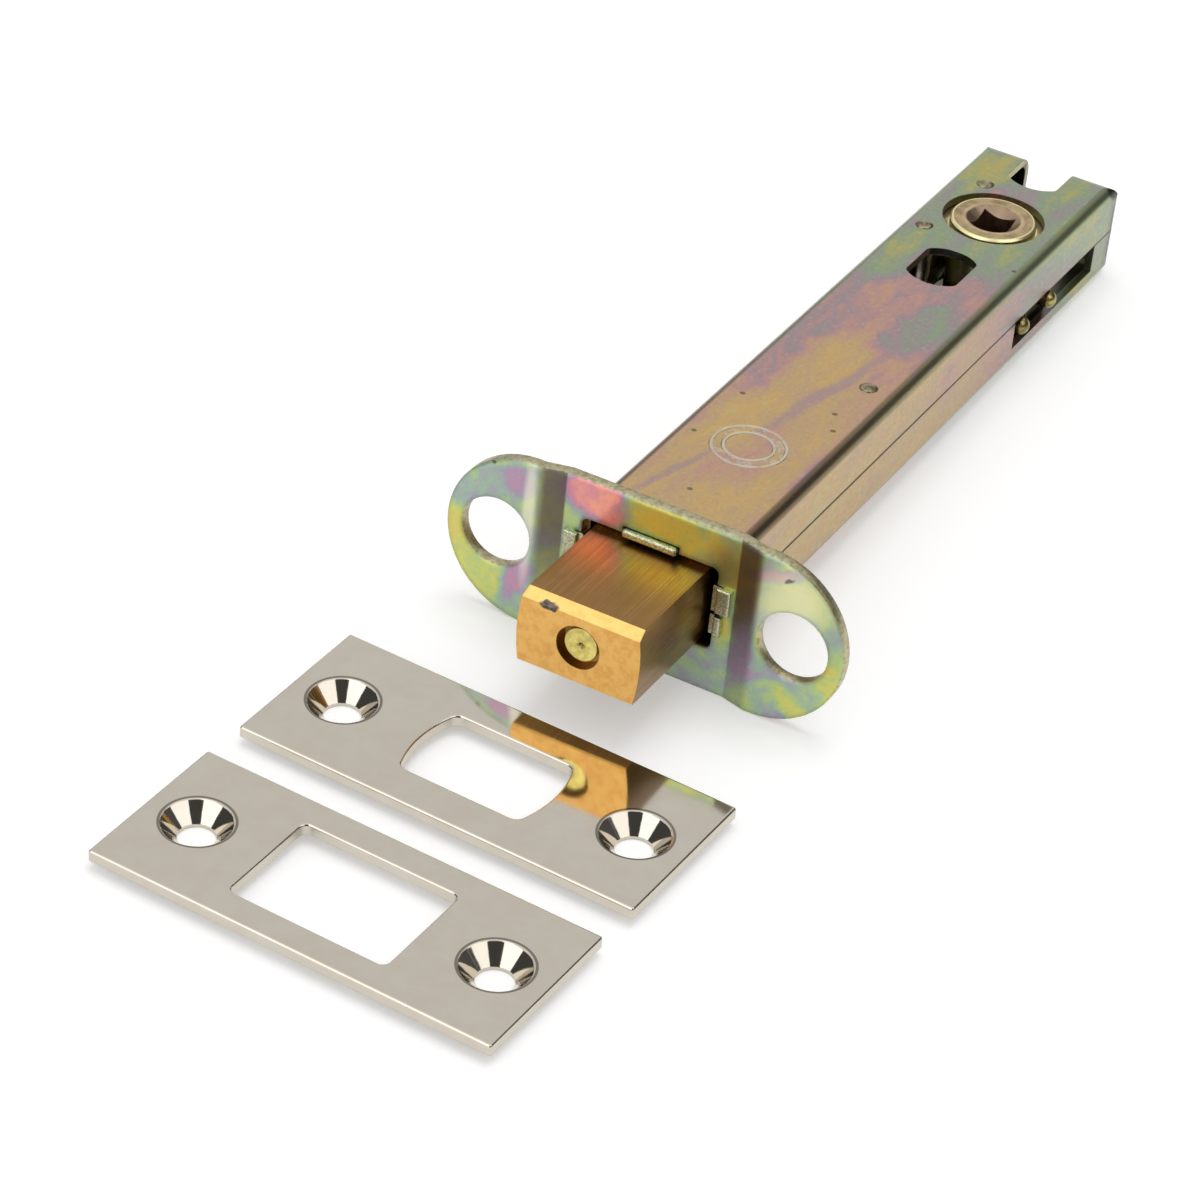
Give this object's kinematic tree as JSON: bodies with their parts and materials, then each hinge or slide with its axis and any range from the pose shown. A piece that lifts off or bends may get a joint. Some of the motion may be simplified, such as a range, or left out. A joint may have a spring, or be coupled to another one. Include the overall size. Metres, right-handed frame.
{
  "type": "tubular deadbolt",
  "caption": "Tubular deadbolt: slim folded steel case, round-ended fixing plate, brass bolt thrown by a square-socket follower, with loose face plate and strike plate.",
  "frame": {"origin": "centre of the fixing plate's seat, between its two lobe holes, in the front plane of the lobes", "axes": "+X along the fixing plate, +Y from the plate to the rear of the case, +Z out of the case's upper face, the one with the rivet ends seen in the picture"},
  "size_m": [0.0659, 0.2057, 0.028],
  "materials": {
    "passivated_steel": "yellow zinc passivate with soft iridescence",
    "bolt_brass": "brushed solid brass, darker on the long faces",
    "plated_rod": "yellow zinc plated steel, turned",
    "plated_strip": "yellow zinc plated steel strip",
    "follower_steel": "passivated steel, pale pinkish brass tone",
    "rivet_steel": "passivated steel, domed rivet ends",
    "spring_steel": "bare spring steel",
    "polished_nickel": "polished nickel plate"
  },
  "bodies": {
    "case": {"case_upper": "passivated_steel", "case_lower": "passivated_steel", "fixing_plate": "passivated_steel", "rivet_post_front": "rivet_steel", "rivet_post_middle": "rivet_steel", "rivet_post_rear": "rivet_steel", "detent_spring": "spring_steel", "face_plate": "polished_nickel", "strike_plate": "polished_nickel"},
    "bolt": {"bolt_head": "bolt_brass", "bolt_rod": "plated_rod", "carriage": "plated_strip", "guide_stud_front": "plated_rod", "guide_stud_rear": "plated_rod"},
    "follower": {"follower": "follower_steel"}
  },
  "joints": [
    {"name": "bolt_throw", "type": "slide", "parent": "case", "child": "bolt", "axis": [0, 1, 0], "range_m": [0, 0.014]},
    {"name": "follower_turn", "type": "hinge", "parent": "case", "child": "follower", "pos_m": [0, 0.1062, 0], "axis": [0, 0, 1], "range_deg": [0, 96]}
  ],
  "couplings": [
    {"joint": "follower_turn", "follows": "bolt_throw", "rad_per_m": 119.6}
  ]
}
